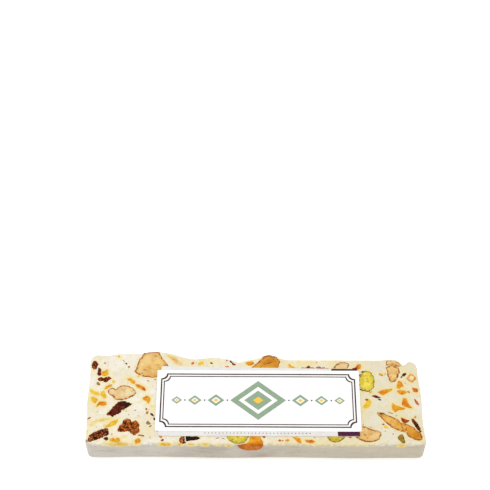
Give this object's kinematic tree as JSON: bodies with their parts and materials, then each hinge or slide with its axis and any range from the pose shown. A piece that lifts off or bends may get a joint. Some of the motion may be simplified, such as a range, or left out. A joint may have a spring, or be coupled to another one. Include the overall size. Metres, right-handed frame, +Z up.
{
  "type": "nougat bar",
  "caption": "Flat bar of white nougat cut through almonds, pistachios, dried figs and candied peel, with a blank patterned paper label on top.",
  "frame": {"origin": "middle of the bar's bounding box, on the flat underside it rests on", "axes": "+X along the bar, +Y from the straight front wall to the uneven back edge, +Z up out of the cut face"},
  "size_m": [0.1508, 0.0486, 0.0134],
  "materials": {
    "nougat": "soft satin, cream white, finely pored",
    "almond": "roasted, matte, thin brown skin at the rim",
    "pistachio": "matte yellow green kernel with a dark rim",
    "dried_fig": "moist dark brown with pale seeds",
    "candied_fruit": "glossy, translucent amber",
    "candied_peel": "satin, translucent orange and yellow",
    "label_paper": "coated light grey paper with a plum end",
    "label_panel": null
  },
  "bodies": {
    "root": {"almond_back_left": "almond", "almond_back_middle": "almond", "almond_back_right": "almond", "almond_front_right": "almond", "almond_left": "almond", "almond_long_left": "almond", "almond_long_right": "almond", "almond_right": "almond", "almond_right_chip": "almond", "candied_fruit": "candied_fruit", "cherry_chip": "candied_fruit", "fig_back_left": "dried_fig", "fig_bar": "dried_fig", "fig_cluster": "dried_fig", "fig_corner": "dried_fig", "fig_diagonal": "dried_fig", "fig_sliver": "dried_fig", "fig_strip": "dried_fig", "fig_strip_end": "dried_fig", "fig_stub": "dried_fig", "label_base": "label_paper", "label_panel": "label_panel", "nougat": "nougat", "peel_01": "candied_peel", "peel_02": "candied_peel", "peel_03": "candied_peel", "peel_04": "candied_peel", "peel_05": "candied_peel", "peel_06": "candied_peel", "peel_07": "candied_peel", "peel_08": "candied_peel", "peel_09": "candied_peel", "peel_10": "candied_peel", "peel_11": "candied_peel", "peel_12": "candied_peel", "peel_13": "candied_peel", "peel_14": "candied_peel", "peel_15": "candied_peel", "peel_16": "candied_peel", "peel_17": "candied_peel", "peel_18": "candied_peel", "peel_19": "candied_peel", "peel_20": "candied_peel", "peel_21": "candied_peel", "peel_22": "candied_peel", "peel_23": "candied_peel", "peel_24": "candied_peel", "peel_25": "candied_peel", "pistachio_chip": "pistachio", "pistachio_front_middle": "pistachio", "pistachio_front_right": "pistachio", "pistachio_right": "pistachio"}
  },
  "joints": []
}
